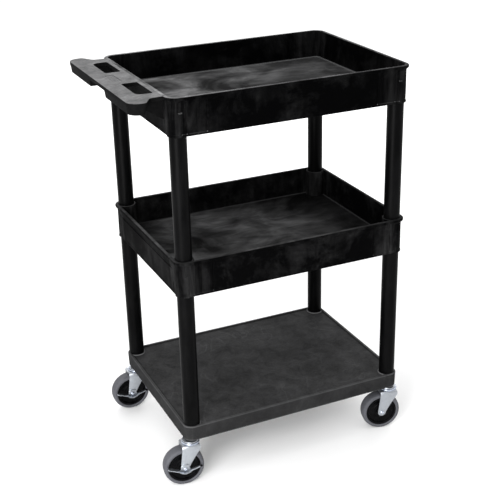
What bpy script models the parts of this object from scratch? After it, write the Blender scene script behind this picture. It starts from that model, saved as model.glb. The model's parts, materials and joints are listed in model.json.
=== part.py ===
"""Rolling utility cart: two tub shelves, a flat base shelf, eight tubular legs and four swivel casters.

Units are metres and +Z is up. The floor is z = 0, the push handle is at -X, and the cart is centred
on the origin in plan with its handle included. Seen by the person who pushes it towards +X, "front"
is the +X end, "rear" the handle end, "left" the +Y side and "right" the -Y side.
"""

import bmesh
import bpy
from math import acos, asin, cos, pi, radians, sin
from mathutils import Vector

# Shelves.
SHELF_LENGTH = 0.6096
SHELF_WIDTH = 0.4572
TUB_HEIGHT = 0.0900
TUB_FLOOR_LEVEL = 0.0200       # floor surface above the tub's underside
FLOOR_THICKNESS = 0.0050
WALL_THICKNESS = 0.0050
RIM_WIDTH = 0.0100
RIM_HEIGHT = 0.0070
WALL_TOP_INSET = 0.0042        # outer wall under the rim, in from the rim's edge
WALL_FOOT_INSET = 0.0075       # outer wall at the underside: the draft of the moulding
CAVITY_FOOT_INSET = 0.0130
TOP_RIM_LEVEL = 0.9845
MIDDLE_RIM_LEVEL = 0.6020
BASE_UNDERSIDE_LEVEL = 0.1270
BASE_HEIGHT = 0.0400
BASE_INSET = 0.0048            # the base shelf is this much smaller than the tubs all round
LIP_HEIGHT = 0.0030
LIP_WIDTH = 0.0085
RIB_BAYS = 7
RIB_THICKNESS = 0.0045

# Legs and the corner posts that hold them.
LEG_INSET = 0.0285             # leg axis to the rim's edge, both ways
LEG_RADIUS = 0.0200
LEG_WALL = 0.0030
WELL_DEPTH = 0.0520            # how far an upper leg stands down in the middle tub's corner
WELL_RADIUS = 0.0203
POST_RADIUS = 0.0245
POST_DRAFT = 0.0008            # a post is this much larger in radius at the tub's floor
SPIGOT_RADIUS = 0.0165
SPIGOT_LENGTH = 0.0300
GAP = 0.0003                   # between pieces that touch

# Push handle, moulded in one with the top tub.
HANDLE_REACH = 0.0852
HANDLE_HALF_WIDTH = 0.2300
HANDLE_THICKNESS = 0.0090
GRIP_DEPTH = 0.0260
GRIP_WIDTH = 0.0400
GRIP_WALL = 0.0045
BRIDGE_HALF_WIDTH = 0.0515
SLOT_WIDTH = 0.0370
SLOT_START = 0.0550
SLOT_END = 0.1600
LABEL_LENGTH = 0.0640
LABEL_WIDTH = 0.0200
LABEL_DEPTH = 0.0012

# Casters.
WHEEL_RADIUS = 0.0508
WHEEL_WIDTH = 0.0318
WHEEL_FACETS = 24
FRONT_WHEEL_REACH = 0.3134     # front edge of the front wheels, from the middle of the shelves
TREAD_INNER_RADIUS = 0.0399
HUB_RADIUS = 0.0396
TRAIL = 0.0205                 # axle behind the swivel axis
SWIVEL_OFFSET_X = 0.0060       # swivel axis outward of the leg axis
FORK_INNER_HALF_WIDTH = 0.0178
FORK_SHEET = 0.0025
CROWN_UNDERSIDE = 0.1105
CROWN_REAR = 0.0255             # the crown plate reaches this far behind the swivel axis
CROWN_FRONT = 0.0210
BEARING_RADIUS = 0.0228
BEARING_HEIGHT = 0.0050
RACE_RADIUS = 0.0205
RACE_HEIGHT = 0.0045
STEM_RADIUS = 0.0053
STEM_LENGTH = 0.0260           # inside the base shelf
SOCKET_RADIUS = 0.0080
AXLE_RADIUS = 0.0040
BOLT_HEAD_RADIUS = 0.0054
NUT_HEIGHT = 0.0060
SLEEVE_RADIUS = 0.0074
LEVER_SHEET = 0.0020

CORNERS = {
    "rear_right": (-1, -1, -9.0),
    "rear_left": (-1, 1, -2.0),
    "front_right": (1, -1, -13.0),
    "front_left": (1, 1, -7.0),
}
BRAKED = ("rear_right", "rear_left")

HALF_LENGTH = SHELF_LENGTH / 2
HALF_WIDTH = SHELF_WIDTH / 2
LEG_X = HALF_LENGTH - LEG_INSET
LEG_Y = HALF_WIDTH - LEG_INSET
DECK_LEVEL = BASE_UNDERSIDE_LEVEL + BASE_HEIGHT - LIP_HEIGHT
CROWN_TOP = CROWN_UNDERSIDE + FORK_SHEET
FORK_OUTER_HALF_WIDTH = FORK_INNER_HALF_WIDTH + FORK_SHEET


def clear_scene():
    for item in list(bpy.data.objects):
        bpy.data.objects.remove(item, do_unlink=True)


def make_material(name, color, roughness, metallic=0.0):
    material = bpy.data.materials.new(name)
    material.use_nodes = True
    shader = material.node_tree.nodes["Principled BSDF"]
    shader.inputs["Base Color"].default_value = (*color, 1.0)
    shader.inputs["Roughness"].default_value = roughness
    shader.inputs["Metallic"].default_value = metallic
    return material


def empty(name, parent, location=(0, 0, 0), turn=0.0):
    item = bpy.data.objects.new(name, None)
    item.location = location
    item.rotation_euler = (0, 0, radians(turn))
    item.parent = parent
    bpy.context.collection.objects.link(item)
    return item


def finish_mesh(name, bm, parent, location=(0, 0, 0), material=None, smooth=30.0):
    bmesh.ops.recalc_face_normals(bm, faces=bm.faces)
    mesh = bpy.data.meshes.new(name)
    bm.to_mesh(mesh)
    bm.free()
    mesh.shade_smooth()
    mesh.set_sharp_from_angle(angle=radians(smooth))
    if material:
        mesh.materials.append(material)
    item = bpy.data.objects.new(name, mesh)
    item.location = location
    item.parent = parent
    bpy.context.collection.objects.link(item)
    return item


def add_loft(bm, rings, closed=False):
    """Skins rings of equal length; the ends are capped, or joined to each other when closed."""
    rows = [[bm.verts.new(point) for point in ring] for ring in rings]
    count = len(rows[0])
    pairs = list(zip(rows, rows[1:]))
    if closed:
        pairs.append((rows[-1], rows[0]))
    for low, high in pairs:
        for i in range(count):
            j = (i + 1) % count
            bm.faces.new((low[i], low[j], high[j], high[i]))
    if not closed:
        bm.faces.new(list(reversed(rows[0])))
        bm.faces.new(rows[-1])


def loft(name, rings, parent, location=(0, 0, 0), material=None, closed=False, smooth=30.0, split=False):
    """Lofts rings into one object; split cuts the side faces into triangles where they are not flat."""
    bm = bmesh.new()
    add_loft(bm, rings, closed)
    if split:
        bmesh.ops.triangulate(bm, faces=[face for face in bm.faces if len(face.verts) == 4])
    return finish_mesh(name, bm, parent, location, material, smooth)


def turned(name, profile, sides, parent, location=(0, 0, 0), material=None, axis="Z", closed=False):
    """A body of revolution from (radius, height) pairs, about Z or about Y."""
    rings = []
    for radius, height in profile:
        ring = []
        for k in range(sides):
            angle = 2 * pi * (k + 0.5) / sides
            u, v = radius * cos(angle), radius * sin(angle)
            ring.append((u, v, height) if axis == "Z" else (u, height, v))
        rings.append(ring)
    return loft(name, rings, parent, location, material, closed, 35.0)


def level(points, z):
    return [(x, y, z) for x, y in points]


def rounded(corners, steps=4):
    """A closed outline from (x, y, radius) corners, each rounded by an arc of that radius."""
    outline = []
    count = len(corners)
    for i, (x, y, radius) in enumerate(corners):
        here = Vector((x, y))
        back = (Vector(corners[i - 1][:2]) - here).normalized()
        ahead = (Vector(corners[(i + 1) % count][:2]) - here).normalized()
        if radius <= 0:
            outline.append((x, y))
            continue
        half = acos(max(-1.0, min(1.0, back.dot(ahead)))) / 2
        centre = here + (back + ahead).normalized() * (radius / sin(half))
        start = here + back * (radius * cos(half) / sin(half)) - centre
        end = here + ahead * (radius * cos(half) / sin(half)) - centre
        sweep = start.angle_signed(end)
        for k in range(steps + 1):
            turn = -sweep * k / steps
            outline.append((
                centre.x + start.x * cos(turn) - start.y * sin(turn),
                centre.y + start.x * sin(turn) + start.y * cos(turn),
            ))
    return outline


def plan(inset, margin=0.0, steps=4):
    """The shelf's rounded outline moved in by inset; its corner arcs centre on the leg axes."""
    x = HALF_LENGTH - margin - inset
    y = HALF_WIDTH - margin - inset
    radius = max(LEG_INSET - margin - inset, 0.002)
    return rounded([(x, y, radius), (-x, y, radius), (-x, -y, radius), (x, -y, radius)], steps)


def prism(name, outline, low, high, parent, material=None, location=(0, 0, 0)):
    return loft(name, [level(outline, low), level(outline, high)], parent, location, material)


def cutter(item):
    item.hide_render = True
    item.display_type = "WIRE"
    return item


def boolean(target, tool, operation):
    cutter(tool)
    modifier = target.modifiers.new(operation.lower(), "BOOLEAN")
    modifier.operation = operation
    modifier.solver = "EXACT"
    modifier.object = tool
    return target


def quarters():
    return [(sx, sy) for sx in (-1, 1) for sy in (-1, 1)]


def posts(name, radius, low, high, parent, sides=20, x=LEG_X, y=LEG_Y):
    """One upright cylinder at each corner, joined in a single cutter."""
    bm = bmesh.new()
    for sx, sy in quarters():
        rings = []
        for z in (low, high):
            ring = []
            for k in range(sides):
                angle = 2 * pi * (k + 0.5) / sides
                ring.append((sx * x + radius * cos(angle), sy * y + radius * sin(angle), z))
            rings.append(ring)
        add_loft(bm, rings)
    return finish_mesh(name, bm, parent)


def rib_bays(name, parent, half_x, half_y, low, high):
    """The bays between an underside's cross ribs, as boxes that leave the corner posts whole."""
    bm = bmesh.new()
    pitch = 2 * half_x / RIB_BAYS
    for bay in range(RIB_BAYS):
        x0 = -half_x + bay * pitch + RIB_THICKNESS / 2
        x1 = x0 + pitch - RIB_THICKNESS
        box = [(x0, -half_y), (x1, -half_y), (x1, half_y), (x0, half_y)]
        add_loft(bm, [level(box, low), level(box, high)])
    bays = finish_mesh(name, bm, parent)
    keep = posts(name + "_posts", POST_RADIUS, low - 0.01, high + 0.01, parent)
    return boolean(bays, keep, "DIFFERENCE")


def post_cavity(inset):
    """The tub's inside in plan: straight walls that turn in round the post at each corner."""
    x = HALF_LENGTH - inset
    y = HALF_WIDTH - inset
    radius = POST_RADIUS + POST_DRAFT * (inset - RIM_WIDTH) / (CAVITY_FOOT_INSET - RIM_WIDTH)
    along = asin((x - LEG_X) / radius)
    across = asin((y - LEG_Y) / radius)
    steps = 6
    corner = []
    first = -pi / 2 + along
    last = -pi - across
    for k in range(steps + 1):
        angle = first + (last - first) * k / steps
        corner.append((LEG_X + radius * cos(angle), LEG_Y + radius * sin(angle)))
    outline = list(corner)
    outline += [(-px, py) for px, py in reversed(corner)]
    outline += [(-px, -py) for px, py in corner]
    outline += [(px, -py) for px, py in reversed(corner)]
    return outline


def tub_body(name, rim_level, parent, material, cavity_plan):
    """A tub without its handle or leg wells, standing with its rim at rim_level."""
    foot = rim_level - TUB_HEIGHT
    outside = [
        (WALL_FOOT_INSET + 0.0015, foot),
        (WALL_FOOT_INSET, foot + 0.0015),
        (WALL_TOP_INSET, rim_level - RIM_HEIGHT - 0.0010),
        (0.0004, rim_level - RIM_HEIGHT),
        (0.0, rim_level - RIM_HEIGHT + 0.0015),
        (0.0, rim_level - 0.0025),
        (0.0008, rim_level - 0.0007),
        (0.0025, rim_level),
    ]
    body = loft(name, [level(plan(inset), z) for inset, z in outside], parent, material=material)
    floor = foot + TUB_FLOOR_LEVEL
    cavity = loft(
        name + "_cavity",
        [level(cavity_plan(CAVITY_FOOT_INSET), floor), level(cavity_plan(RIM_WIDTH), rim_level + 0.01)],
        parent, split=True,
    )
    boolean(body, cavity, "DIFFERENCE")
    bays = rib_bays(
        name + "_bays", parent,
        HALF_LENGTH - WALL_FOOT_INSET - WALL_THICKNESS, HALF_WIDTH - WALL_FOOT_INSET - WALL_THICKNESS,
        foot - 0.01, floor - FLOOR_THICKNESS,
    )
    boolean(body, bays, "DIFFERENCE")
    spigots = posts(name + "_spigots", SPIGOT_RADIUS, foot - SPIGOT_LENGTH, foot + 0.005, parent, 12)
    return boolean(body, spigots, "UNION")


def handle_outline():
    """Plan of the whole handle plate: two rounded lobes with a shallow notch before the tub."""
    tub_side = -HALF_LENGTH + 0.006
    outer = -HALF_LENGTH - HANDLE_REACH
    half = [
        (tub_side, 0.1960, 0.0),
        (-HALF_LENGTH - 0.0300, 0.1990, 0.014),
        (-HALF_LENGTH - 0.0480, HANDLE_HALF_WIDTH, 0.011),
        (outer, HANDLE_HALF_WIDTH, 0.026),
    ]
    return rounded(half + [(x, -y, radius) for x, y, radius in reversed(half)])


def grip_outline(side, inset):
    """Plan of one grip's skirt, from the bridge to the end of its lobe."""
    outer = -HALF_LENGTH - HANDLE_REACH + inset
    inner = -HALF_LENGTH - HANDLE_REACH + GRIP_WIDTH - inset
    corners = [
        (outer, BRIDGE_HALF_WIDTH + inset, 0.002),
        (inner, BRIDGE_HALF_WIDTH + inset, 0.002),
        (inner, HANDLE_HALF_WIDTH - inset, 0.010 - inset),
        (outer, HANDLE_HALF_WIDTH - inset, 0.026 - inset),
    ]
    return rounded([(x, side * y, radius) for x, y, radius in corners])


def slot_outline(side):
    """A finger slot, whose outer far corner has the largest radius."""
    inner = -HALF_LENGTH - 0.0078
    outer = inner - SLOT_WIDTH
    corners = [
        (inner, SLOT_START, 0.004),
        (outer, SLOT_START, 0.004),
        (outer, SLOT_END, 0.015),
        (inner, SLOT_END, 0.004),
    ]
    return rounded([(x, side * y, radius) for x, y, radius in corners])


def gusset_outline(top):
    """Side view of the web under a handle arm, from the grip's skirt to the tub's wall."""
    wall = -HALF_LENGTH + WALL_TOP_INSET + 0.002
    grip = -HALF_LENGTH - HANDLE_REACH + GRIP_WIDTH - 0.002
    return [
        (grip, top - GRIP_DEPTH + 0.004),
        (wall, top - GRIP_DEPTH - 0.030),
        (wall, top - HANDLE_THICKNESS / 2),
        (grip, top - HANDLE_THICKNESS / 2),
    ]


def make_top_tub(cart, material):
    tub = tub_body("top_tub", TOP_RIM_LEVEL, cart, material, plan)
    top = TOP_RIM_LEVEL - 0.0002
    plate = prism("handle_plate", handle_outline(), top - HANDLE_THICKNESS, top, cart)
    boolean(tub, plate, "UNION")
    for side, label in ((1, "left"), (-1, "right")):
        skirt = loft(
            "grip_" + label,
            [
                level(grip_outline(side, 0.0030), top - GRIP_DEPTH),
                level(grip_outline(side, 0.0008), top - 0.0040),
            ],
            cart,
        )
        boolean(tub, skirt, "UNION")
        web = [
            [(x, side * y, z) for x, z in gusset_outline(top)]
            for y in (0.1760, 0.1810)
        ]
        boolean(tub, loft("gusset_" + label, web, cart), "UNION")
        hollow = prism(
            "grip_hollow_" + label, grip_outline(side, 0.0030 + GRIP_WALL),
            top - GRIP_DEPTH - 0.01, top - HANDLE_THICKNESS, cart,
        )
        boolean(tub, hollow, "DIFFERENCE")
        slot = prism(
            "finger_slot_" + label, slot_outline(side), top - 0.5 * TUB_HEIGHT, top + 0.01, cart,
        )
        boolean(tub, slot, "DIFFERENCE")
    seat = prism("label_seat", label_outline(0.0), top - LABEL_DEPTH, top + 0.01, cart)
    return boolean(tub, seat, "DIFFERENCE")


def label_outline(shrink):
    x = -HALF_LENGTH - 0.0440
    half_x = LABEL_WIDTH / 2 - shrink
    half_y = LABEL_LENGTH / 2 - shrink
    corners = [(1, 1), (-1, 1), (-1, -1), (1, -1)]
    return rounded([(x + sx * half_x, sy * half_y, 0.003) for sx, sy in corners], 3)


def make_label_plate(cart, material):
    top = TOP_RIM_LEVEL - 0.0002
    return prism(
        "handle_label_plate", label_outline(GAP),
        top - LABEL_DEPTH + GAP, top - 0.0003, cart, material,
    )


def make_middle_tub(cart, material):
    tub = tub_body("middle_tub", MIDDLE_RIM_LEVEL, cart, material, post_cavity)
    wells = posts(
        "leg_wells", WELL_RADIUS, MIDDLE_RIM_LEVEL - WELL_DEPTH, MIDDLE_RIM_LEVEL + 0.01, cart,
    )
    return boolean(tub, wells, "DIFFERENCE")


def make_bottom_shelf(cart, material):
    foot = BASE_UNDERSIDE_LEVEL
    top = foot + BASE_HEIGHT
    rings = [
        level(plan(0.0022, BASE_INSET), foot),
        level(plan(0.0012, BASE_INSET), foot + 0.0010),
        level(plan(0.0, BASE_INSET), top - 0.0030),
        level(plan(0.0010, BASE_INSET), top - 0.0008),
        level(plan(0.0030, BASE_INSET), top),
        level(plan(LIP_WIDTH - 0.0020, BASE_INSET), top),
        level(plan(LIP_WIDTH, BASE_INSET), DECK_LEVEL),
    ]
    shelf = loft("bottom_shelf", rings, cart, material=material)
    bays = rib_bays(
        "base_bays", cart,
        HALF_LENGTH - BASE_INSET - WALL_THICKNESS, HALF_WIDTH - BASE_INSET - WALL_THICKNESS,
        foot - 0.01, DECK_LEVEL - FLOOR_THICKNESS,
    )
    boolean(shelf, bays, "DIFFERENCE")
    boolean(shelf, posts("leg_seats", WELL_RADIUS, DECK_LEVEL - 0.0005, top + 0.01, cart), "DIFFERENCE")
    boolean(shelf, posts("base_spigots", SPIGOT_RADIUS, foot + 0.03, DECK_LEVEL + SPIGOT_LENGTH, cart, 12),
            "UNION")
    bores = posts(
        "socket_bores", SOCKET_RADIUS + GAP, foot - 0.01, foot + STEM_LENGTH + 0.002, cart, 12,
        LEG_X + SWIVEL_OFFSET_X, LEG_Y,
    )
    return boolean(shelf, bores, "DIFFERENCE")


def make_leg(name, x, y, low, high, cart, material):
    inner = LEG_RADIUS - LEG_WALL
    profile = [(LEG_RADIUS, 0.0), (LEG_RADIUS, high - low), (inner, high - low), (inner, 0.0)]
    return turned(name, profile, 20, cart, (x, y, low), material, closed=True)


def make_legs(cart, material):
    lower = (DECK_LEVEL - 0.0005 + GAP, MIDDLE_RIM_LEVEL - TUB_HEIGHT - GAP)
    upper = (MIDDLE_RIM_LEVEL - WELL_DEPTH + GAP, TOP_RIM_LEVEL - TUB_HEIGHT - GAP)
    for corner, (sx, sy, _) in CORNERS.items():
        make_leg("lower_leg_" + corner, sx * LEG_X, sy * LEG_Y, *lower, cart, material)
        make_leg("upper_leg_" + corner, sx * LEG_X, sy * LEG_Y, *upper, cart, material)


def fork_side_outline():
    """Side view of a fork leg: wide at the crown, tapering back to a round end on the axle."""
    tip = 0.0105
    corners = [
        (-CROWN_REAR, CROWN_TOP, 0.0025),
        (-TRAIL - tip, WHEEL_RADIUS - tip, tip),
        (-TRAIL + tip, WHEEL_RADIUS - tip, tip),
        (CROWN_FRONT, CROWN_TOP - 0.012, 0.006),
        (CROWN_FRONT, CROWN_TOP, 0.0025),
    ]
    return rounded(corners, 3)


def make_fork(corner, swivel, material):
    outline = fork_side_outline()
    inner, outer = FORK_INNER_HALF_WIDTH, FORK_OUTER_HALF_WIDTH
    near_rings = [[(x, y, z) for x, z in outline] for y in (inner, outer)]
    far_rings = [[(x, y, z) for x, z in outline] for y in (-outer, -inner)]
    fork = loft("fork_" + corner, near_rings, swivel, material=material)
    other = loft("fork_far_leg_" + corner, far_rings, swivel)
    boolean(fork, other, "UNION")
    rear, front, side = 0.0030 - CROWN_REAR, CROWN_FRONT - 0.0030, outer - 0.0010
    plate = [(front, -side), (front, side), (rear, side), (rear, -side)]
    crown = prism("fork_crown_" + corner, plate, CROWN_UNDERSIDE, CROWN_TOP - 0.0002, swivel)
    boolean(fork, crown, "UNION")
    pivot = turned("fork_pivot_hole_" + corner, [(0.0062, 0.09), (0.0062, 0.12)], 12, swivel)
    boolean(fork, pivot, "DIFFERENCE")
    axle = turned("fork_axle_hole_" + corner, [(AXLE_RADIUS + GAP, -0.03), (AXLE_RADIUS + GAP, 0.03)], 12,
                  swivel, (-TRAIL, 0, WHEEL_RADIUS), axis="Y")
    return boolean(fork, axle, "DIFFERENCE")


def make_swivel_head(corner, fixed, swivel, steel, plastic):
    """Stem, stem socket and upper race stay with the cart; the bearing ring turns with the fork."""
    bearing_low = CROWN_TOP + GAP
    bearing_top = bearing_low + BEARING_HEIGHT
    hole = STEM_RADIUS + 0.0010
    turned(
        "swivel_bearing_" + corner,
        [(hole, bearing_low), (BEARING_RADIUS, bearing_low), (BEARING_RADIUS, bearing_top - 0.0012),
         (BEARING_RADIUS - 0.0012, bearing_top), (hole, bearing_top)],
        20, swivel, material=steel, closed=True,
    )
    race_low = bearing_top + GAP
    race_top = race_low + RACE_HEIGHT
    turned(
        "upper_race_" + corner,
        [(hole, race_low), (RACE_RADIUS, race_low), (RACE_RADIUS, race_top - 0.0025),
         (0.0140, race_top), (hole, race_top)],
        20, fixed, material=steel, closed=True,
    )
    shoulder_low = race_top + GAP
    shoulder_top = BASE_UNDERSIDE_LEVEL - GAP
    head_low = CROWN_UNDERSIDE - GAP - 0.0020
    turned(
        "stem_" + corner,
        [(0.0090, head_low), (0.0090, head_low + 0.0020), (STEM_RADIUS, head_low + 0.0020),
         (STEM_RADIUS, shoulder_low), (0.0105, shoulder_low), (0.0105, shoulder_top),
         (STEM_RADIUS, shoulder_top), (STEM_RADIUS, BASE_UNDERSIDE_LEVEL + STEM_LENGTH - 0.002),
         (STEM_RADIUS - 0.0012, BASE_UNDERSIDE_LEVEL + STEM_LENGTH)],
        12, fixed, material=steel,
    )
    socket_hole = STEM_RADIUS + GAP
    socket_low = BASE_UNDERSIDE_LEVEL + GAP
    socket_top = BASE_UNDERSIDE_LEVEL + STEM_LENGTH
    turned(
        "stem_socket_" + corner,
        [(socket_hole, socket_low), (SOCKET_RADIUS, socket_low),
         (SOCKET_RADIUS, socket_top), (socket_hole, socket_top)],
        12, fixed, material=plastic, closed=True,
    )


def make_wheel(corner, wheel, tread_material, hub_material):
    half = WHEEL_WIDTH / 2
    over_flats = 1 / cos(pi / WHEEL_FACETS)
    inner = TREAD_INNER_RADIUS * over_flats
    outer = WHEEL_RADIUS * over_flats
    turned(
        "tread_" + corner,
        [(inner, half - 0.0006), (outer - 0.0055, half), (outer - 0.0014, half - 0.0034),
         (outer, half - 0.0090), (outer, 0.0090 - half), (outer - 0.0014, 0.0034 - half),
         (outer - 0.0055, -half), (inner, 0.0006 - half)],
        WHEEL_FACETS, wheel, material=tread_material, axis="Y", closed=True,
    )
    bore = SLEEVE_RADIUS + 0.0005
    boss = FORK_INNER_HALF_WIDTH - 0.0006
    turned(
        "hub_" + corner,
        [(bore, boss), (0.0125, boss), (0.0135, half - 0.0065), (0.0335, half - 0.0060),
         (HUB_RADIUS, half - 0.0020), (HUB_RADIUS, 0.0020 - half), (0.0335, 0.0060 - half),
         (0.0135, 0.0065 - half), (0.0125, -boss), (bore, -boss)],
        WHEEL_FACETS, wheel, material=hub_material, axis="Y", closed=True,
    )


def make_axle(corner, axle, steel):
    """Bolt, nut and sleeve, held still by the fork while the hub turns on the sleeve."""
    spare = LEVER_SHEET + GAP if corner in BRAKED else 0.0
    seat = FORK_OUTER_HALF_WIDTH + GAP
    hole = AXLE_RADIUS + GAP
    turned(
        "axle_bolt_" + corner,
        [(BOLT_HEAD_RADIUS - 0.0014, -seat - spare - 0.0034),
         (BOLT_HEAD_RADIUS, -seat - spare - 0.0020), (BOLT_HEAD_RADIUS, -seat - spare),
         (AXLE_RADIUS, -seat - spare), (AXLE_RADIUS, seat + NUT_HEIGHT)],
        12, axle, material=steel, axis="Y",
    )
    nut_hole = hole / cos(pi / 6)
    turned(
        "axle_nut_" + corner,
        [(nut_hole, seat), (0.0080, seat), (0.0080, seat + NUT_HEIGHT - 0.0010),
         (0.0066, seat + NUT_HEIGHT), (nut_hole, seat + NUT_HEIGHT)],
        6, axle, material=steel, axis="Y", closed=True,
    )
    end = FORK_INNER_HALF_WIDTH - GAP
    turned(
        "axle_sleeve_" + corner,
        [(hole, -end), (SLEEVE_RADIUS, -end), (SLEEVE_RADIUS, end), (hole, end)],
        12, axle, material=steel, axis="Y", closed=True,
    )


def make_brake(corner, axle, steel, plastic):
    """Stamped rocker lever on the axle, with a dished foot pad at one end and a tip at the other."""
    face = -FORK_OUTER_HALF_WIDTH - GAP
    outer = face - LEVER_SHEET
    stations = [
        (-0.0440, 0.0088, 0.0076),
        (-0.0340, 0.0066, 0.0100),
        (-0.0200, 0.0012, 0.0104),
        (-0.0080, -0.0060, 0.0106),
        (0.0000, -0.0074, 0.0112),
        (0.0080, -0.0058, 0.0100),
        (0.0200, -0.0012, 0.0074),
        (0.0370, 0.0016, 0.0045),
    ]
    rings = []
    for x, z, width in stations:
        low, high = z - LEVER_SHEET / 2, z + LEVER_SHEET / 2
        rings.append([(x, face, low), (x, face, high), (x, face - width, high), (x, face - width, low)])
    lever = loft("brake_lever_" + corner, rings, axle, material=steel)
    web_corners = [
        (-0.0080, -0.0060, 0.0), (0.0000, -0.0074, 0.0), (0.0080, -0.0058, 0.0), (0.0150, -0.0030, 0.0),
        (0.0105, 0.0125, 0.0050), (-0.0105, 0.0125, 0.0050), (-0.0150, -0.0010, 0.0),
    ]
    web_outline = rounded(web_corners, 4)
    web = loft("brake_web_" + corner, [[(x, y, z) for x, z in web_outline] for y in (outer, face)], axle)
    boolean(lever, web, "UNION")
    hole = turned("brake_hole_" + corner, [(AXLE_RADIUS + GAP, -0.04), (AXLE_RADIUS + GAP, 0.0)], 12, axle,
                  axis="Y")
    boolean(lever, hole, "DIFFERENCE")
    tip = [(-1, -1), (1, -1), (1, 1), (-1, 1)]
    rings = [
        [(0.0376 + step, face - 0.0019 + a * 0.0019 * scale, 0.0020 + b * 0.0024 * scale) for a, b in tip]
        for step, scale in ((0.0, 0.8), (0.0012, 1.0), (0.0045, 1.0), (0.0058, 0.7))
    ]
    loft("brake_tip_" + corner, rings, axle, material=plastic)


def make_caster(corner, cart, steel, plastic, tread_material, hub_material):
    sx, sy, turn = CORNERS[corner]
    place = (sx * (LEG_X + SWIVEL_OFFSET_X), sy * LEG_Y, 0)
    fixed = empty("caster_seat_" + corner, cart, place)
    swivel = empty("swivel_axis_" + corner, cart, place, turn)
    axle = empty("wheel_axis_" + corner, swivel, (-TRAIL, 0, WHEEL_RADIUS))
    make_swivel_head(corner, fixed, swivel, steel, plastic)
    make_fork(corner, swivel, steel)
    make_wheel(corner, axle, tread_material, hub_material)
    make_axle(corner, axle, steel)
    if corner in BRAKED:
        make_brake(corner, axle, steel, plastic)


def main():
    clear_scene()
    black = make_material("black_structural_foam", (0.025, 0.025, 0.026), 0.55)
    leg_black = make_material("black_leg_tube", (0.020, 0.020, 0.021), 0.45)
    zinc = make_material("bright_zinc", (0.72, 0.74, 0.78), 0.30, 1.0)
    tread = make_material("grey_rubber", (0.16, 0.16, 0.19), 0.70)
    hub = make_material("black_hub_plastic", (0.012, 0.012, 0.014), 0.35)
    label = make_material("blank_label", (0.06, 0.06, 0.06), 0.50)
    cart = empty("cart", None, ((HALF_LENGTH + HANDLE_REACH - FRONT_WHEEL_REACH) / 2, 0, 0))
    make_top_tub(cart, black)
    make_label_plate(cart, label)
    make_middle_tub(cart, black)
    make_bottom_shelf(cart, black)
    make_legs(cart, leg_black)
    for corner in CORNERS:
        make_caster(corner, cart, zinc, hub, tread, hub)


main()
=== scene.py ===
import json
from math import acos, atan2, cos, exp, pi, radians, sin

import bmesh
import bpy
from mathutils import Matrix, Vector


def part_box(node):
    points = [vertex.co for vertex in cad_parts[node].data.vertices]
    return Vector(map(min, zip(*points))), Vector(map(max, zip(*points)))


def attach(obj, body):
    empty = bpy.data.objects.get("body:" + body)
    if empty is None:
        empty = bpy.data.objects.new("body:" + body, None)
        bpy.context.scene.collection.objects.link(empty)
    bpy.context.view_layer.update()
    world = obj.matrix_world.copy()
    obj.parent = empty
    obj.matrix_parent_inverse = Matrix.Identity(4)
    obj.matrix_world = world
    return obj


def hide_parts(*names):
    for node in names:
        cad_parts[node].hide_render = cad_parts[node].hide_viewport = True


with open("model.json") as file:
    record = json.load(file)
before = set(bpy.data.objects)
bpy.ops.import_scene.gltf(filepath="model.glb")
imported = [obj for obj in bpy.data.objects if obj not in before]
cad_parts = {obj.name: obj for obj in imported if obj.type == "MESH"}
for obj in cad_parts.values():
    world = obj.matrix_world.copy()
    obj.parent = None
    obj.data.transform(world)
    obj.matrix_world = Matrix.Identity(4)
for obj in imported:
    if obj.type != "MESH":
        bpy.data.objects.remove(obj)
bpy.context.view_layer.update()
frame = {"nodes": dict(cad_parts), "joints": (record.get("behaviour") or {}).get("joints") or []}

GAP = 0.0003  # clear space between neighbouring pieces

# Sizes that the frame gives.
MIDDLE_LOW, MIDDLE_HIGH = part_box("middle_tub")
CENTRE_X = (MIDDLE_LOW.x + MIDDLE_HIGH.x) / 2
HALF_LENGTH = (MIDDLE_HIGH.x - MIDDLE_LOW.x) / 2
HALF_WIDTH = (MIDDLE_HIGH.y - MIDDLE_LOW.y) / 2
MIDDLE_RIM = MIDDLE_HIGH.z
TOP_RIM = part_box("top_tub")[1].z
HANDLE_TOP = TOP_RIM - 0.0002
HANDLE_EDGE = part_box("top_tub")[0].x
BASE_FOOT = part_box("bottom_shelf")[0].z
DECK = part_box("lower_leg_front_left")[0].z
MIDDLE_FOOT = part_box("lower_leg_front_left")[1].z + GAP
TOP_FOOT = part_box("upper_leg_front_left")[1].z + GAP
LEG_LOW, LEG_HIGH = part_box("upper_leg_front_left")
LEG_X = (LEG_LOW.x + LEG_HIGH.x) / 2 - CENTRE_X
LEG_Y = (LEG_LOW.y + LEG_HIGH.y) / 2
CORNER = HALF_LENGTH - LEG_X  # rim's corner radius, centred on the leg's axis
WHEEL_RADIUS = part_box("tread_front_left")[1].z / 2

# Sizes of the shelves, the casters and the handle.
LEG_RADIUS = 0.0200
LEG_WALL = 0.0030
POST_RADIUS = 0.0245
FLOOR_LEVEL = 0.0200  # tub floor above the tub's foot
FLOOR_THICKNESS = 0.0050
WALL_TOP_INSET = 0.0042
WALL_FOOT_INSET = 0.0075
RIM_WIDTH = 0.0100
RIM_HEIGHT = 0.0070
RIM_ROUNDING, RIM_INNER_ROUNDING = 0.0028, 0.0022
CAVITY_FOOT_INSET = 0.0130
BASE_INSET = 0.0048
BASE_TOP = BASE_FOOT + 0.0400
LIP_WIDTH, LIP_ROUNDING = 0.0085, 0.0030
RIB_BAYS, RIB_THICKNESS, RIB_INSET = 7, 0.0045, 0.0040
CROWN_UNDERSIDE, CROWN_REAR, CROWN_FRONT, SHEET = 0.1105, 0.0255, 0.0210, 0.0025
CROWN_TOP = CROWN_UNDERSIDE + SHEET
TRAIL = 0.0205  # the axle's place behind the swivel's axis
FORK_INNER, FORK_OUTER = 0.0178, 0.0203
BEARING_RADIUS, BEARING_HEIGHT = 0.0228, 0.0050
RACE_RADIUS, RACE_HEIGHT = 0.0205, 0.0045
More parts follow.
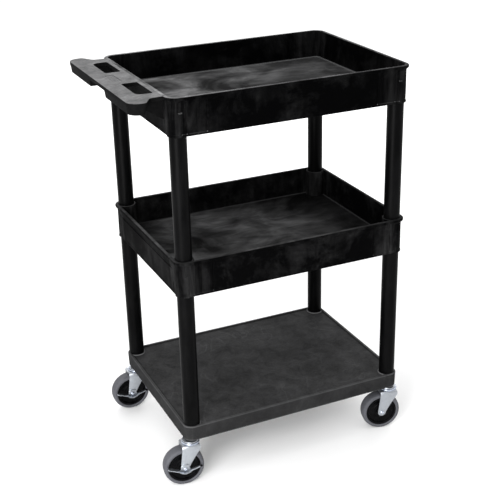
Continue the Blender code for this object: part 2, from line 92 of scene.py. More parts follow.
TREAD_HALF_WIDTH, TREAD_INNER, HUB_RIM = 0.0159, 0.0410, 0.0406
HANDLE_HALF_WIDTH, HANDLE_THICKNESS = 0.2300, 0.0090
GRIP_DEPTH, GRIP_WIDTH, GRIP_WALL = 0.0260, 0.0400, 0.0045
BRIDGE_HALF_WIDTH = 0.0515
SLOT_WIDTH, SLOT_START, SLOT_END = 0.0370, 0.0550, 0.1600
WEB_Y = (0.1760, 0.1810)  # the web that props each grip on the tub
LABEL_LENGTH, LABEL_WIDTH, LABEL_DEPTH = 0.0640, 0.0200, 0.0012
GROOVE_X = 0.2140  # upright grooves in the long outer walls
INNER_GROOVE_X = 0.2350  # and in the long inner walls
FLUTE_INSET = 0.0150  # shallow flutes, this far inside the legs' axes
COLUMN_BULGE = 0.0026  # how far a corner column stands proud at its foot
CORNERS = ("rear_right", "rear_left", "front_right", "front_left")
BRAKED = ("rear_right", "rear_left")


# -------------------- mesh helpers

def new_object(name, bm):
    """Links a bmesh to the scene as an object, with its normals outward."""
    bmesh.ops.recalc_face_normals(bm, faces=bm.faces)
    mesh = bpy.data.meshes.new(name)
    bm.to_mesh(mesh)
    bm.free()
    item = bpy.data.objects.new(name, mesh)
    bpy.context.scene.collection.objects.link(item)
    return item


def finish_piece(item, material, body, nodes, sharp=35.0):
    """Gives a piece its material, shading and body, and hides the CAD nodes that it replaces."""
    item.data.materials.append(material)
    item.data.shade_smooth()
    item.data.set_sharp_from_angle(angle=radians(sharp))
    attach(item, body)
    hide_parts(*nodes)


def make_piece(name, bm, material, body, nodes, sharp=35.0, bevel=0.0):
    """Turns a bmesh into a finished piece that rides on a body."""
    item = new_object(name, bm)
    if bevel:
        add_bevel(item, bevel)
    finish_piece(item, material, body, nodes, sharp)


def turned_piece(name, profile, place, sides, material, body, nodes, sharp=35.0, axis="Z"):
    """Makes a piece that is one closed body of revolution."""
    bm = bmesh.new()
    add_turned(bm, profile, place, sides, axis, closed=True)
    make_piece(name, bm, material, body, nodes, sharp)


def add_bevel(item, width, segments=2, limit=40.0):
    modifier = item.modifiers.new("edge_radius", "BEVEL")
    modifier.width = width
    modifier.segments = segments
    modifier.limit_method = "ANGLE"
    modifier.angle_limit = radians(limit)
    modifier.use_clamp_overlap = True


def add_loft(bm, rings, closed=False):
    """Joins rings of equal count, capped at both ends or closed from the last ring to the first."""
    rows = [[bm.verts.new(point) for point in ring] for ring in rings]
    count = len(rows[0])
    pairs = list(zip(rows, rows[1:]))
    if closed:
        pairs.append((rows[-1], rows[0]))
    for low, high in pairs:
        for i in range(count):
            j = (i + 1) % count
            bm.faces.new((low[i], low[j], high[j], high[i]))
    if not closed:
        bm.faces.new(list(reversed(rows[0])))
        bm.faces.new(rows[-1])


def add_turned(bm, profile, place, sides, axis="Z", closed=False):
    """Adds a body of revolution from (radius, height) pairs about the local Z or Y axis."""
    rings = []
    for radius, height in profile:
        ring = []
        for k in range(sides):
            angle = 2 * pi * k / sides
            u, v = radius * cos(angle), radius * sin(angle)
            local = (u, v, height) if axis == "Z" else (u, height, v)
            ring.append(place @ Vector(local))
        rings.append(ring)
    add_loft(bm, rings, closed)


def arc(centre, radius, first, last, steps):
    """Points (u, v) along an arc, angles in degrees."""
    points = []
    for k in range(steps + 1):
        angle = radians(first + (last - first) * k / steps)
        points.append((centre[0] + radius * cos(angle), centre[1] + radius * sin(angle)))
    return points


def rounding(radius, angles):
    """Steps (across, up) round an edge of this radius, angles in degrees from its upright side."""
    return [(radius - radius * cos(radians(a)), radius * sin(radians(a))) for a in angles]


def rounded(corners, steps=8):
    """A closed outline from (x, y, radius) corners, each rounded by an arc of that radius."""
    outline = []
    count = len(corners)
    for i, (x, y, radius) in enumerate(corners):
        here = Vector((x, y))
        back = (Vector(corners[i - 1][:2]) - here).normalized()
        ahead = (Vector(corners[(i + 1) % count][:2]) - here).normalized()
        if radius <= 0:
            outline.append((x, y))
            continue
        half = acos(max(-1.0, min(1.0, back.dot(ahead)))) / 2
        centre = here + (back + ahead).normalized() * (radius / sin(half))
        start = here + back * (radius * cos(half) / sin(half)) - centre
        end = here + ahead * (radius * cos(half) / sin(half)) - centre
        sweep = start.angle_signed(end)
        for k in range(steps + 1):
            turn = -sweep * k / steps
            outline.append((
                centre.x + start.x * cos(turn) - start.y * sin(turn),
                centre.y + start.x * sin(turn) + start.y * cos(turn),
            ))
    return outline


def smooth_step(value, low, high):
    t = max(0.0, min(1.0, (value - low) / (high - low)))
    return t * t * (3 - 2 * t)


def band(value, low, high, soft):
    """1 between low and high, falling to 0 over soft outside them."""
    return smooth_step(value, low - soft, low) * (1 - smooth_step(value, high, high + soft))


def peak(value, centre, width):
    """1 at centre, falling smoothly to almost nothing at twice the width to both sides."""
    return exp(-((value - centre) / width) ** 2)


# -------------------- materials

class Nodes:
    """A small helper that builds one Principled material."""

    def __init__(self, name, color, roughness, metallic=0.0, specular=0.5):
        self.material = bpy.data.materials.new(name)
        self.material.use_nodes = True
        self.tree = self.material.node_tree
        self.shader = self.tree.nodes["Principled BSDF"]
        self.shader.inputs["Base Color"].default_value = (*color, 1.0)
        self.shader.inputs["Roughness"].default_value = roughness
        self.shader.inputs["Metallic"].default_value = metallic
        self.shader.inputs["Specular IOR Level"].default_value = specular
        self.place = self.new("TexCoord").outputs["Object"]
        self.bump_normal = None

    def new(self, kind, **inputs):
        """Adds a shader node of this kind, with the given inputs set by name."""
        node = self.tree.nodes.new("ShaderNode" + kind)
        for name, value in inputs.items():
            node.inputs[name].default_value = value
        return node

    def link(self, source, target):
        self.tree.links.new(source, target)

    def mapped(self, scale, turn=(0, 0, 0)):
        node = self.new("Mapping", Scale=scale, Rotation=turn)
        self.link(self.place, node.inputs["Vector"])
        return node.outputs["Vector"]

    def noise(self, scale, detail=4.0, rough=0.55, distortion=0.0, vector=None):
        node = self.new("TexNoise", Scale=scale, Detail=detail, Roughness=rough, Distortion=distortion)
        self.link(vector or self.place, node.inputs["Vector"])
        return node.outputs["Fac"]

    def math(self, operation, a, b=0.0):
        node = self.new("Math")
        node.operation = operation
        for socket, value in zip(node.inputs, (a, b)):
            if isinstance(value, (int, float)):
                socket.default_value = value
            else:
                self.link(value, socket)
        return node.outputs["Value"]

    def mix(self, factor, a, b):
        """Color a where factor is 0, color b where it is 1."""
        node = self.new("Mix")
        node.data_type = "RGBA"
        for socket, value in ((node.inputs[0], factor), (node.inputs[6], a), (node.inputs[7], b)):
            if isinstance(value, tuple):
                socket.default_value = (*value, 1.0)
            else:
                self.link(value, socket)
        return node.outputs[2]

    def range(self, value, low, high, from_low=0.0, from_high=1.0):
        """Low where value is from_low, high where it is from_high, and held outside them."""
        limits = {"From Min": from_low, "From Max": from_high, "To Min": low, "To Max": high}
        node = self.new("MapRange", **limits)
        self.link(value, node.inputs["Value"])
        return node.outputs["Result"]

    def bump(self, height, strength, distance):
        node = self.new("Bump", Strength=strength, Distance=distance)
        self.link(height, node.inputs["Height"])
        if self.bump_normal:
            self.link(self.bump_normal, node.inputs["Normal"])
        self.bump_normal = node.outputs["Normal"]
        self.link(self.bump_normal, self.shader.inputs["Normal"])

    def coordinate(self, vector, name):
        node = self.new("SeparateXYZ")
        self.link(vector, node.inputs["Vector"])
        return node.outputs[name]

    def edge(self, low=0.52, high=0.60):
        """0 where pointiness is low, 1 where it is high; it is 0.5 on flat surface, more on proud edges."""
        node = self.new("NewGeometry")
        return self.range(node.outputs["Pointiness"], 0.0, 1.0, low, high)

    def facing_up(self, low, high):
        """0 where the normal's Z is under low, 1 where it is over high."""
        node = self.new("NewGeometry")
        return self.range(self.coordinate(node.outputs["Normal"], "Z"), 0.0, 1.0, low, high)

    def ridge(self, value, width):
        """Thin lines, 1 where the value passes its middle, 0 at width to both sides."""
        return self.range(self.math("ABSOLUTE", self.math("SUBTRACT", value, 0.5)), 1.0, 0.0, 0.0, width)

    def from_leg(self):
        """Distance in plan from the nearest leg's axis, in metres."""
        x = self.math("ABSOLUTE", self.math("SUBTRACT", self.coordinate(self.place, "X"), CENTRE_X))
        y = self.math("ABSOLUTE", self.coordinate(self.place, "Y"))
        x = self.math("POWER", self.math("SUBTRACT", x, LEG_X), 2.0)
        y = self.math("POWER", self.math("SUBTRACT", y, LEG_Y), 2.0)
        return self.math("SQRT", self.math("ADD", x, y))

    def color(self, source):
        self.link(source, self.shader.inputs["Base Color"])

    def roughness(self, source):
        self.link(source, self.shader.inputs["Roughness"])


def foam_material(name, wall, dark, pale, marks, painted_light_slope, spread):
    """Moulded structural foam: near black, with hazy clouds and flow lines on the floor, painted pale on
    upward faces as sheen, upright drag marks on walls with painted highlights on the corner columns, and
    paler edges, painted highlights in creases and on rims, partly edge wear. The haze's painted light fades
    from one X end to the other."""
    m = Nodes(name, wall, 0.5, specular=0.005)
    cloud = m.noise(5.5, 6.0, 0.55, 0.7)
    flow = m.noise(10.0, 5.0, 0.56, 1.2, m.mapped((1.0, 2.2, 1.0), (0, 0, 0.7)))
    vein = m.ridge(m.noise(5.0, 2.0, 0.45, 1.4), 0.050)
    # painted light: the haze brightens towards the lower X end, the handle end, as light falling unevenly
    # across the floor
    sweep = m.range(m.coordinate(m.place, "X"), 0.26, 1.0, *painted_light_slope)
    haze = m.math("MULTIPLY", m.range(cloud, 0.0, 1.0, *spread), m.range(flow, 0.25, 1.0, 0.30, 0.68))
    haze = m.math("ADD", haze, m.math("MULTIPLY", vein, m.range(cloud, 0.0, 0.16, 0.42, 0.58)))
    # painted sheen: upward faces take the pale tone over the marbled haze, standing in for light glancing off
    # the floors
    marbling_and_top_sheen = m.mix(m.math("MULTIPLY", haze, sweep), dark, pale)
    drag = m.noise(34.0, 6.0, 0.66, 0.5, m.mapped((1.0, 1.0, 0.12)))
    smear = m.noise(11.0, 8.0, 0.72, 0.3)
    # painted highlight: light upright streaks near each corner column, fading out between 25 and 70 mm from
    # the leg's axis
    corner = m.range(m.from_leg(), 0.60, 0.0, 0.025, 0.070)
    marks_and_corner_highlight = m.math("MULTIPLY", m.range(drag, 0.30, 1.0, 0.40, 0.68), m.range(smear, 0.0, 0.8, 0.46, 0.74))
    marks_and_corner_highlight = m.math("ADD", marks_and_corner_highlight, m.math("MULTIPLY", corner, m.range(drag, 0.0, 1.0, 0.42, 0.66)))
    # the marks colour serves both the drag marks and the painted corner highlight
    on_wall = m.mix(marks_and_corner_highlight, wall, marks)
    # upward faces get the painted sheen, walls their dark tone with marks
    shade = m.mix(m.facing_up(0.75, 0.98), on_wall, marbling_and_top_sheen)
    # painted highlight: a pale line along hollow creases that face partly up, such as the floor's fillet
    hollow = m.math("MULTIPLY", m.range(m.edge(0.49, 0.42), 0.0, 0.9), m.facing_up(0.12, 0.40))
    shade = m.mix(hollow, shade, tuple(0.7 * c for c in pale))
    # paler proud edges that face up, on the rims: edge wear and painted highlight
    proud = m.math("MULTIPLY", m.range(m.edge(0.54, 0.64), 0.0, 0.7), m.facing_up(0.20, 0.50))
    shade = m.mix(proud, shade, tuple(0.9 * c for c in pale))
    m.color(shade)
    m.roughness(m.range(haze, 0.60, 0.44))
    m.bump(flow, 0.10, 0.0012)
    m.bump(m.noise(420.0, 3.0, 0.6), 0.16, 0.0005)
    m.bump(m.noise(1300.0, 2.0, 0.5), 0.12, 0.0002)
    return m.material


def grained_foam_material(name, side, dark, pale, crease_shade_edge_highlight):
    """The same foam where it is coarser: a matt, evenly mottled grain with paler tops, painted sheen, and
    when asked, painted shade in hollow creases and paler proud edges, edge wear and painted highlight.
    """
    m = Nodes(name, side, 0.6, specular=0.01)
    mottle = m.noise(28.0, 7.0, 0.72, 0.6)
    grain = m.noise(230.0, 4.0, 0.70)
    blotch = m.noise(7.0, 4.0, 0.6, 1.0)
    mark = m.ridge(m.noise(7.0, 2.0, 0.5, 1.8), 0.020)
    shade = m.math("ADD", m.range(mottle, 0.0, 0.55, 0.32, 0.68), m.range(grain, 0.0, 0.30, 0.36, 0.66))
    shade = m.math("ADD", shade, m.range(blotch, -0.12, 0.16, 0.35, 0.65))
    shade = m.math("ADD", shade, m.math("MULTIPLY", mark, m.range(blotch, 0.0, 0.4, 0.45, 0.60)))
    # painted sheen: upward faces take the paler top tone, strongest on the handle
    top = m.mix(shade, dark, pale)
    low = m.mix(shade, tuple(0.6 * c for c in side), tuple(1.5 * c for c in side))
    color = m.mix(m.facing_up(0.55, 0.95), low, top)
    if crease_shade_edge_highlight:
        # painted shade: hollow creases darkened
        color = m.mix(m.range(m.edge(0.495, 0.45), 0.0, 0.9), color, tuple(0.10 * c for c in side))
        # paler proud edges: edge wear and painted highlight
        color = m.mix(m.range(m.edge(0.515, 0.57), 0.0, 0.9), color, tuple(2.6 * c for c in pale))
    m.color(color)
    m.roughness(m.range(grain, 0.52, 0.66, 0.35, 0.65))
    m.bump(mottle, 0.12, 0.0008)
    m.bump(grain, 0.22, 0.0005)
    return m.material


def leg_material():
    """Extruded black tube: faint lengthwise draw lines and handling scuffs."""
    m = Nodes("black_leg_tube", (0.001, 0.001, 0.001), 0.35, specular=0.03)
    lines = m.noise(240.0, 3.0, 0.6, 0.0, m.mapped((1.0, 1.0, 0.02)))
    scuff = m.noise(24.0, 5.0, 0.65, 0.6, m.mapped((1.0, 1.0, 0.35)))
    m.color(m.mix(m.range(scuff, 0.0, 1.0, 0.45, 0.75), (0.0012, 0.0012, 0.0013), (0.0034, 0.0034, 0.0036)))
    m.roughness(m.math("ADD", m.range(scuff, 0.30, 0.42, 0.35, 0.7), m.range(lines, -0.03, 0.03)))
    m.bump(lines, 0.12, 0.0003)
    m.bump(m.noise(900.0, 2.0, 0.5), 0.08, 0.0002)
    return m.material


def zinc_material(name, roughness, tone):
    """Bright zinc plate: bluish with faint straw tints, rolled grain and small scratches."""
    m = Nodes(name, tone, roughness, metallic=1.0)
    tint = m.noise(55.0, 4.0, 0.6, 0.8)
    grain = m.noise(500.0, 3.0, 0.6, 0.0, m.mapped((0.12, 1.0, 1.0), (0.0, 0.3, 0.4)))
    scratch = m.noise(300.0, 2.0, 0.7, 1.0, m.mapped((1.0, 0.08, 0.5), (0.7, 0.2, 0.9)))
    shade = m.mix(m.range(tint, 0.0, 1.0, 0.35, 0.7), tone, tuple(0.86 * c for c in tone))
    shade = m.mix(m.range(scratch, 0.0, 0.5, 0.60, 0.72), shade, tuple(1.3 * c for c in tone))
    m.color(shade)
    m.roughness(m.math("ADD", m.range(tint, roughness - 0.05, roughness + 0.10), m.range(grain, -0.04, 0.06)))
    m.bump(grain, 0.10, 0.0002)
    m.bump(tint, 0.15, 0.0006)
    return m.material


def tread_material():
    """Grey non-marking rubber, dusty and slightly scuffed on the running band, with a painted highlight on
    its proud edges.
    """
    m = Nodes("grey_rubber", (0.12, 0.125, 0.15), 0.65, specular=0.4)
    patch = m.noise(38.0, 5.0, 0.65, 0.5)
    speck = m.noise(520.0, 3.0, 0.6)
    shade = m.mix(m.range(patch, 0.0, 1.0, 0.35, 0.7), (0.046, 0.047, 0.056), (0.076, 0.078, 0.088))
    shade = m.mix(m.range(speck, 0.0, 0.35, 0.58, 0.74), shade, (0.11, 0.11, 0.12))
    # painted highlight: proud edges of the tread lightened
    shade = m.mix(m.range(m.edge(), 0.0, 0.35), shade, (0.12, 0.12, 0.13))
    m.color(shade)
    m.roughness(m.range(patch, 0.55, 0.78, 0.3, 0.7))
    m.bump(speck, 0.18, 0.0004)
    return m.material


def hub_material():
    """Smooth black moulded hub with light dust and turning marks."""
    m = Nodes("black_hub_plastic", (0.002, 0.002, 0.003), 0.34, specular=0.06)
    dust = m.noise(90.0, 5.0, 0.65, 0.5)
    m.color(m.mix(m.range(dust, 0.0, 0.8, 0.5, 0.8), (0.0008, 0.0008, 0.0012), (0.006, 0.006, 0.0072)))
    m.roughness(m.range(dust, 0.24, 0.50, 0.35, 0.7))
    m.bump(m.noise(700.0, 2.0, 0.5), 0.08, 0.0002)
    return m.material


def label_material():
    """Blank satin plate."""
    m = Nodes("blank_label", (0.03, 0.03, 0.031), 0.5, specular=0.06)
    wear = m.noise(120.0, 5.0, 0.65, 0.4)
    m.color(m.mix(m.range(wear, 0.0, 1.0, 0.4, 0.75), (0.030, 0.030, 0.032), (0.060, 0.060, 0.062)))
    m.roughness(m.range(wear, 0.44, 0.58, 0.3, 0.7))
    m.bump(m.noise(900.0, 2.0, 0.5), 0.10, 0.0002)
    return m.material


def floor_material():
    m = Nodes("pale_floor", (0.90, 0.90, 0.90), 0.9, specular=0.1)
    m.color(m.mix(m.noise(3.0, 3.0), (0.90, 0.90, 0.90), (0.92, 0.92, 0.92)))
    return m.material


# -------------------- shelves

def side_positions(half, marks):
    """Coordinates along one straight side, with extra points round the marks."""
    near = (-0.0050, -0.0034, -0.0022, -0.0010, 0.0, 0.0010, 0.0022, 0.0034, 0.0050)
    values = [mark + step for mark in marks for step in near]
    count = int(2 * half / 0.012)
    values += [-half + 2 * half * k / count for k in range(1, count)]
    kept = []
    for value in sorted(values):
        if abs(value) < half - 0.0004 and (not kept or value - kept[-1] > 0.0007):
            kept.append(value)
    return kept


class ShelfPlan:
    """Plan of a shelf as rays: each has its side, its base on the legs' rectangle and its normal."""

    ARC_STEPS = 14

    def __init__(self, marks_x, marks_y, margin=0.0):
        self.margin = margin
        self.rays = []
        runs = (
            ("front", (1, -1), (0, 1), side_positions(LEG_Y, marks_y)),
            ("left", (1, 1), (-1, 0), side_positions(LEG_X, marks_x)),
            ("rear", (-1, 1), (0, -1), side_positions(LEG_Y, marks_y)),
            ("right", (-1, -1), (1, 0), side_positions(LEG_X, marks_x)),
        )
        for k, (side, (cx, cy), (dx, dy), places) in enumerate(runs):
            corner_start = -pi / 2 + k * pi / 2
            for step in range(self.ARC_STEPS + 1):
                angle = corner_start + (pi / 2) * step / self.ARC_STEPS
                self.rays.append(("corner", (cx * LEG_X, cy * LEG_Y), (cos(angle), sin(angle))))
            for place in places:
                base = (cx * LEG_X if dx == 0 else place * dx, cy * LEG_Y if dy == 0 else place * dy)
                self.rays.append((side, base, (dy, -dx)))

    def ring(self, inset, z, dent=None):
        """The outline moved in by inset, with dent(side, x, y, z) metres more at each point."""
        radius = CORNER - self.margin - inset
        points = []
        for side, (bx, by), (nx, ny) in self.rays:
            x, y = bx + nx * radius, by + ny * radius
            deep = dent(side, x, y, z) if dent else 0.0
            points.append((CENTRE_X + x - nx * deep, y - ny * deep, z))
        return points


def wall_waves(x, y, z):
    """Gentle unevenness of a foam moulding's flat walls."""
    return 0.00022 * sin(x * 31 + 1.3) * cos(z * 47 + 0.4) + 0.00018 * sin(y * 37 + x * 11 + 0.7)


def outer_dent(rim, foot, handle_end):
    """Depth of the marks moulded in a tub's outer wall."""

    def dent(side, x, y, z):
        far_x, far_y = abs(x), abs(y)
        fade = band(z, foot + 0.006, rim - 0.0115, 0.003)
        column = smooth_step(far_x, LEG_X - 0.0030, LEG_X - 0.0006)
        column *= smooth_step(far_y, LEG_Y - 0.0030, LEG_Y - 0.0006)
        depth = wall_waves(x, y, z) * fade
        foot_band = smooth_step(z, foot, foot + 0.001) * (1 - smooth_step(z, foot + 0.0045, foot + 0.0065))
        depth -= 0.0007 * foot_band
        if far_y > LEG_Y - 0.001:
            depth += 0.0019 * peak(far_x, GROOVE_X, 0.0018) * fade
            depth += 0.0008 * smooth_step(far_x, GROOVE_X, GROOVE_X + 0.003) * fade
            slot = band(far_x, LEG_X - 0.0055, LEG_X + 0.0050, 0.0009)
            depth += 0.0032 * slot * band(z, rim - 0.0360, rim - 0.0125, 0.0012)
            depth += 0.0009 * peak(far_x, LEG_X - FLUTE_INSET, 0.0014) * fade
        if far_x > LEG_X - 0.001:
            depth += 0.0009 * peak(far_y, LEG_Y - FLUTE_INSET, 0.0014) * fade
        depth -= COLUMN_BULGE * column * (1 - smooth_step(z, foot, rim - RIM_HEIGHT))
        if handle_end and side == "rear":
            across = band(far_y, 0.0, LEG_Y - 0.020, 0.006)
            depth += 0.0022 * across * band(z, rim - 0.0250, rim - 0.0205, 0.0018)
        return depth

    return dent


def inner_dent(rim, floor):
    """Depth of the marks moulded in a tub's inner wall; they point into the wall."""

    def dent(side, x, y, z):
        fade = band(z, floor + 0.010, rim - 0.0060, 0.004)
        depth = -wall_waves(x, y, z) * fade
        if side in ("left", "right"):
            depth -= 0.0011 * peak(abs(x), INNER_GROOVE_X, 0.0020) * fade
            depth -= 0.0005 * smooth_step(abs(x), INNER_GROOVE_X, INNER_GROOVE_X + 0.003) * fade
        return depth

    return dent


def both_ends(*marks):
    return [end * mark for mark in marks for end in (-1, 1)]


def add_tub_shell(bm, rim, foot, handle_end):
    """Wall, rolled rim, cavity and floor of a tub, lofted from its underside round to its floor."""
    ring = ShelfPlan(both_ends(GROOVE_X, INNER_GROOVE_X, LEG_X - FLUTE_INSET, LEG_X - 0.005),
                     both_ends(LEG_Y - FLUTE_INSET, LEG_Y - 0.002)).ring
    floor = foot + FLOOR_LEVEL
    outer = outer_dent(rim, foot, handle_end)
    inner = inner_dent(rim, floor)
    inside = WALL_FOOT_INSET + 0.0050
    rings = [
        ring(inside, floor - FLOOR_THICKNESS),
        ring(inside, foot + 0.0012),
        ring(inside - 0.0004, foot + 0.0003),
        ring(inside - 0.0012, foot),
        ring(WALL_FOOT_INSET + 0.0014, foot),
        ring(WALL_FOOT_INSET + 0.0004, foot + 0.0004, outer),
    ]
    wall_top = rim - RIM_HEIGHT - 0.0016
    heights = [foot + step for step in (0.0014, 0.0030, 0.0045, 0.0055, 0.0065, 0.0085)]
    steps = 34
    heights += [foot + 0.0110 + (wall_top - foot - 0.0110) * k / steps for k in range(steps + 1)]
    for z in heights:
        along = (z - foot) / (wall_top - foot)
        rings.append(ring(WALL_FOOT_INSET + (WALL_TOP_INSET - WALL_FOOT_INSET) * along, z, outer))
    lip = rim - RIM_HEIGHT
    rings += [
        ring(WALL_TOP_INSET - 0.0005, lip - 0.0007),
        ring(WALL_TOP_INSET - 0.0015, lip - 0.0001),
        ring(0.0012, lip + 0.0001),
        ring(0.0004, lip + 0.0005),
    ]
    for across, up in rounding(RIM_ROUNDING, (0, 22, 45, 68, 90)):
        rings.append(ring(across, rim - RIM_ROUNDING + up))
    inner_edge = rim - RIM_INNER_ROUNDING
    for across, up in rounding(RIM_INNER_ROUNDING, (90, 60, 30, 0)):
        rings.append(ring(RIM_WIDTH - across, inner_edge + up))
    steps = 22
    fillet = 0.0032
    for k in range(1, steps + 1):
        along = k / steps
        z = inner_edge + (floor + fillet - rim + RIM_INNER_ROUNDING) * along
        rings.append(ring(RIM_WIDTH + (CAVITY_FOOT_INSET - RIM_WIDTH) * along, z, inner))
    for across, up in rounding(fillet, (22, 45, 68, 90)):
        rings.append(ring(CAVITY_FOOT_INSET + across, floor + fillet - up))
    rings += [ring(CAVITY_FOOT_INSET + fillet + flat, floor) for flat in (0.0015, 0.0040, 0.0100)]
    add_loft(bm, rings)


def add_ribs(bm, inset, low, high):
    """The cross ribs under a shelf, each a closed board with a rounded, slightly drafted foot."""
    half_x, half_y = HALF_LENGTH - inset - RIB_INSET, HALF_WIDTH - inset - RIB_INSET
    half = RIB_THICKNESS / 2
    section = [(-half - 0.0004, high), (half + 0.0004, high),
               (half - 0.0002, low + 0.0012), (half - 0.0009, low + 0.0003), (0.0, low),
               (-half + 0.0009, low + 0.0003), (-half + 0.0002, low + 0.0012)]
    for k in range(1, RIB_BAYS):
        x = CENTRE_X - half_x + 2 * half_x * k / RIB_BAYS
        add_loft(bm, [[(x + dx, y, z) for dx, z in section] for y in (-half_y, half_y)])


def corner_places():
    return [(CENTRE_X + sx * LEG_X, sy * LEG_Y) for sx in (-1, 1) for sy in (-1, 1)]


def add_leg_collars(bm, foot):
    """The round foot of each corner column, just proud of the wall's foot, that the leg butts on."""
    inner, outer = LEG_RADIUS - 0.0022, LEG_RADIUS + 0.0009
    collar = [(inner, -0.0004), (LEG_RADIUS + 0.0002, -0.0004), (outer, 0.0002),
              (outer, 0.0020), (LEG_RADIUS + 0.0004, 0.0040), (inner, 0.0060)]
    bore, plug = 0.0100, LEG_RADIUS - LEG_WALL - 0.0006
    spigot = [(bore, -0.0290), (plug - 0.0010, -0.0290), (plug, -0.0280), (plug, 0.0120), (bore, 0.0120)]
    for x, y in corner_places():
        place = Matrix.Translation((x, y, foot))
        add_turned(bm, collar, place, 56, closed=True)
        add_turned(bm, spigot, place, 32, closed=True)


def add_tub(bm, rim, foot, handle_end):
    add_tub_shell(bm, rim, foot, handle_end)
    add_ribs(bm, WALL_FOOT_INSET, foot + 0.0008, foot + FLOOR_LEVEL - FLOOR_THICKNESS + 0.001)
    add_leg_collars(bm, foot)


def make_top_tub(material):
    bm = bmesh.new()
    add_tub(bm, TOP_RIM, TOP_FOOT, False)
    make_piece("top_tub_shell", bm, material, "cart", ["top_tub"])


def add_corner_post(bm, x, y):
    """A post with a well for the leg in a corner of the tub, held inside the outer wall."""
    well = LEG_RADIUS + GAP
    low, top = MIDDLE_FOOT + FLOOR_LEVEL - 0.002, MIDDLE_RIM - 0.0006
    sides, steps = 56, 14
    profile = [(POST_RADIUS - 0.0004 * k / steps, low + (top - 0.0018 - low) * k / steps)
               for k in range(steps + 1)]
    profile += [(POST_RADIUS - 0.0009, top - 0.0006), (POST_RADIUS - 0.0018, top)]
    profile += [(well + 0.0012, top), (well, top - 0.0012), (well, MIDDLE_RIM - 0.0500), (well, low)]
    to_wall = CORNER - WALL_FOOT_INSET + 0.0004
    rings = []
    for radius, z in profile:
        ring = []
        for k in range(sides):
            u, v = cos(2 * pi * k / sides), sin(2 * pi * k / sides)
            out_x, out_y = u * (1 if x > CENTRE_X else -1), v * (1 if y > 0 else -1)
            reach = to_wall / (1.0 if min(out_x, out_y) > 0 else max(out_x, out_y, 0.05))
            held = min(radius, max(reach, well))
            ring.append((x + held * u, y + held * v, z))
        rings.append(ring)
    add_loft(bm, rings, closed=True)


def make_middle_tub(material):
    bm = bmesh.new()
    add_tub(bm, MIDDLE_RIM, MIDDLE_FOOT, True)
    for x, y in corner_places():
        add_corner_post(bm, x, y)
    make_piece("middle_tub_shell", bm, material, "cart", ["middle_tub"])


def make_base_shelf(material):
    """The flat shelf: skirt, rounded lip and sunk deck, with a post and a collar at each leg."""
    bm = bmesh.new()
    ring = ShelfPlan((), (), BASE_INSET).ring
    inside = 0.0050
    deck = DECK + 0.0002

    def dent(side, x, y, z):
        return wall_waves(x, y, z) * 0.8

    rings = [
        ring(inside, deck - FLOOR_THICKNESS),
        ring(inside, BASE_FOOT + 0.0010),
        ring(inside - 0.0010, BASE_FOOT),
        ring(0.0030, BASE_FOOT),
        ring(0.0018, BASE_FOOT + 0.0006, dent),
    ]
    steps = 14
    low, high = BASE_FOOT + 0.0020, BASE_TOP - 0.0036
    for k in range(steps + 1):
        z = low + (high - low) * k / steps
        rings.append(ring(0.0013 * (1 - k / steps), z, dent))
    for across, up in rounding(LIP_ROUNDING, (15, 35, 55, 75, 90)):
        rings.append(ring(across, BASE_TOP - LIP_ROUNDING + up))
    rings += [
        ring(LIP_WIDTH - 0.0030, BASE_TOP),
        ring(LIP_WIDTH - 0.0018, BASE_TOP - 0.0004),
        ring(LIP_WIDTH - 0.0008, deck + 0.0006),
    ]
    rings += [ring(LIP_WIDTH + flat, deck) for flat in (0.0004, 0.0030, 0.0055, 0.0120)]
    add_loft(bm, rings)
    add_ribs(bm, BASE_INSET, BASE_FOOT + 0.0008, deck - FLOOR_THICKNESS + 0.001)
    bore, radius, low, high = 0.0130, 0.0195, BASE_FOOT + 0.0004, deck - 0.002
    post = [(bore, low), (radius, low), (radius, high), (bore, high)]
    bore, low, top = LEG_RADIUS + GAP, deck - 0.001, BASE_TOP - 0.0008
    collar = [(bore, low), (LEG_RADIUS + 0.0030, low), (LEG_RADIUS + 0.0026, top - 0.0012),
              (LEG_RADIUS + 0.0020, top - 0.0003), (LEG_RADIUS + 0.0012, top), (bore, top - 0.0008)]
    for x, y in corner_places():
        place = Matrix.Translation((x, y, 0))
        add_turned(bm, post, place, 40, closed=True)
        add_turned(bm, collar, place, 56, closed=True)
    make_piece("base_shelf_deck", bm, material, "cart", ["bottom_shelf"])


# -------------------- push handle

def solid(name, rings):
    """A closed object lofted through rings whose X counts from the cart's centre."""
    bm = bmesh.new()
    add_loft(bm, [[(CENTRE_X + x, y, z) for x, y, z in ring] for ring in rings])
    return new_object(name, bm)


def prism(name, outline, low, high):
    return solid(name, [[(x, y, z) for x, y in outline] for z in (low, high)])


def combine(target, tool, operation):
    modifier = target.modifiers.new(operation.lower(), "BOOLEAN")
    modifier.operation = operation
    modifier.solver = "EXACT"
    modifier.object = tool
    bpy.context.view_layer.update()
    evaluated = target.evaluated_get(bpy.context.evaluated_depsgraph_get())
    mesh = bpy.data.meshes.new_from_object(evaluated)
    target.modifiers.clear()
    target.data = mesh
    bpy.data.objects.remove(tool, do_unlink=True)


def handle_outline():
    """The plate: two lobes, with a shallow notch before the tub."""
    tub_side = -HALF_LENGTH + 0.0030
    outer = HANDLE_EDGE - CENTRE_X
    half = [
        (tub_side, 0.1960, 0.0),
        (-HALF_LENGTH - 0.0300, 0.1990, 0.014),
        (-HALF_LENGTH - 0.0480, HANDLE_HALF_WIDTH, 0.011),
        (outer, HANDLE_HALF_WIDTH, 0.026),
    ]
    return rounded(half + [(x, -y, radius) for x, y, radius in reversed(half)])


